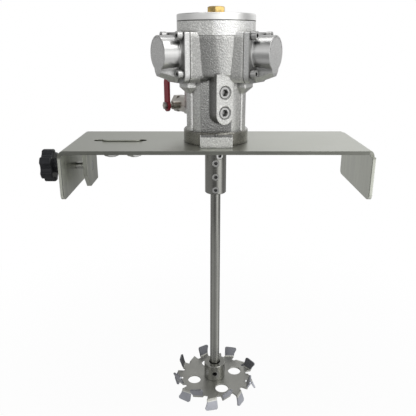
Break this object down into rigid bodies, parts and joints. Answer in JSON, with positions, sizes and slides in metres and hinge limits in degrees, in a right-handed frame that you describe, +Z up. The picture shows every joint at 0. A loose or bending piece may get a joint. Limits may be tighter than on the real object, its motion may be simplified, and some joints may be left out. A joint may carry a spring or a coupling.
{
  "type": "pneumatic drum mixer",
  "caption": "Air driven drum mixer: radial piston motor on a bent clamping plate with a sliding jaw and hand knob, driving a rod with a toothed dispersing disc",
  "frame": {"origin": "on the shaft axis, level with the plate's underside, which rests on the drum's rim", "axes": "+Z up along the shaft, +X towards the fixed lip, -Y to the front with the plugged ports"},
  "size_m": [0.3685, 0.1305, 0.4798],
  "materials": {
    "stainless_sheet": "brushed stainless sheet",
    "stainless_bar": "turned stainless bar",
    "blade_steel": "pressed stainless blade",
    "cast_aluminium": "peened cast aluminium",
    "turned_aluminium": "cast aluminium with turned faces",
    "fastener_steel": "zinc plated steel",
    "dark_fastener": "blackened steel",
    "hard_steel": "ground steel",
    "bronze": "bronze",
    "brass": "bright brass",
    "valve_plating": "nickel plated brass",
    "gasket": "fibre and rubber sheet",
    "seal_rubber": "nitrile rubber",
    "knob_plastic": "black moulded plastic",
    "lever_red": "red dipped steel"
  },
  "bodies": {
    "base": {"mount_plate": "stainless_sheet", "lip_nut": "fastener_steel", "motor_casing": "cast_aluminium", "top_cover": "turned_aluminium", "cover_gasket": "gasket", "cover_screws": "dark_fastener", "top_plug": "brass", "cap_screws": "fastener_steel", "port_plugs": "fastener_steel", "valve_housing": "hard_steel", "shaft_seal": "seal_rubber", "motor_bolts": "fastener_steel", "motor_washers": "fastener_steel", "inlet_valve_body": "valve_plating", "exhaust_silencer": "bronze", "lower_bearing_outer": "hard_steel", "upper_bearing_outer": "hard_steel", "cylinder_cap_right": "turned_aluminium", "cap_gasket_right": "gasket", "cylinder_liner_right": "hard_steel", "cylinder_cap_left": "turned_aluminium", "cap_gasket_left": "gasket", "cylinder_liner_left": "hard_steel", "cylinder_cap_back": "turned_aluminium", "cap_gasket_back": "gasket", "cylinder_liner_back": "hard_steel"},
    "rotor": {"crankshaft": "hard_steel", "rotary_valve": "hard_steel", "lower_bearing_inner": "hard_steel", "upper_bearing_inner": "hard_steel", "coupling": "stainless_bar", "coupling_screws": "dark_fastener", "mixing_rod": "stainless_bar", "impeller_hub": "stainless_bar", "impeller_disc": "blade_steel", "hub_screw": "dark_fastener"},
    "ring": {"drive_ring": "hard_steel", "crank_bush": "bronze"},
    "timing_pin": {"valve_drive_pin": "hard_steel"},
    "right_piston": {"piston_right": "turned_aluminium", "piston_ring_right": "hard_steel"},
    "left_piston": {"piston_left": "turned_aluminium", "piston_ring_left": "hard_steel"},
    "back_piston": {"piston_back": "turned_aluminium", "piston_ring_back": "hard_steel"},
    "jaw": {"clamp_jaw": "stainless_sheet", "guide_strap": "stainless_sheet", "guide_washers": "fastener_steel", "guide_nuts": "fastener_steel"},
    "knob": {"star_knob": "knob_plastic", "clamp_screw": "fastener_steel", "screw_retainer": "fastener_steel"},
    "lever": {"valve_ball": "valve_plating", "valve_lever": "lever_red", "lever_nut": "fastener_steel"}
  },
  "joints": [
    {"name": "crank_spin", "type": "hinge", "parent": "base", "child": "rotor", "pos_m": [0, 0, 0], "axis": [0, 0, 1], "continuous": true},
    {"name": "ring_orbit", "type": "hinge", "parent": "rotor", "child": "ring", "pos_m": [0, 0.007, 0.101], "axis": [0, 0, 1], "continuous": true},
    {"name": "pin_spin", "type": "hinge", "parent": "rotor", "child": "timing_pin", "pos_m": [0, 0.0035, 0.112], "axis": [0, 0, 1], "continuous": true},
    {"name": "right_piston_travel", "type": "hinge", "parent": "timing_pin", "child": "right_piston", "pos_m": [-0.00303, 0.00175, 0.101], "axis": [0, 0, 1], "continuous": true},
    {"name": "left_piston_travel", "type": "hinge", "parent": "timing_pin", "child": "left_piston", "pos_m": [0.00303, 0.00175, 0.101], "axis": [0, 0, 1], "continuous": true},
    {"name": "back_piston_travel", "type": "hinge", "parent": "timing_pin", "child": "back_piston", "pos_m": [0, 0.007, 0.101], "axis": [0, 0, 1], "continuous": true},
    {"name": "jaw_slide", "type": "slide", "parent": "base", "child": "jaw", "axis": [1, 0, 0], "range_m": [-0.013, 0.0085]},
    {"name": "knob_turn", "type": "hinge", "parent": "jaw", "child": "knob", "pos_m": [-0.19, 0, -0.0255], "axis": [1, 0, 0], "range_deg": [-3744.2, 2448.2]},
    {"name": "valve_turn", "type": "hinge", "parent": "base", "child": "lever", "pos_m": [-0.03667, 0.04291, 0.04], "axis": [-0.866, -0.5, 0], "range_deg": [0, 90]}
  ],
  "couplings": [
    {"joint": "ring_orbit", "follows": "crank_spin", "ratio": -1},
    {"joint": "pin_spin", "follows": "crank_spin", "ratio": -2},
    {"joint": "right_piston_travel", "follows": "crank_spin", "ratio": 1},
    {"joint": "left_piston_travel", "follows": "crank_spin", "ratio": 1},
    {"joint": "back_piston_travel", "follows": "crank_spin", "ratio": 1},
    {"joint": "knob_turn", "follows": "jaw_slide", "rad_per_m": 5026.5}
  ]
}
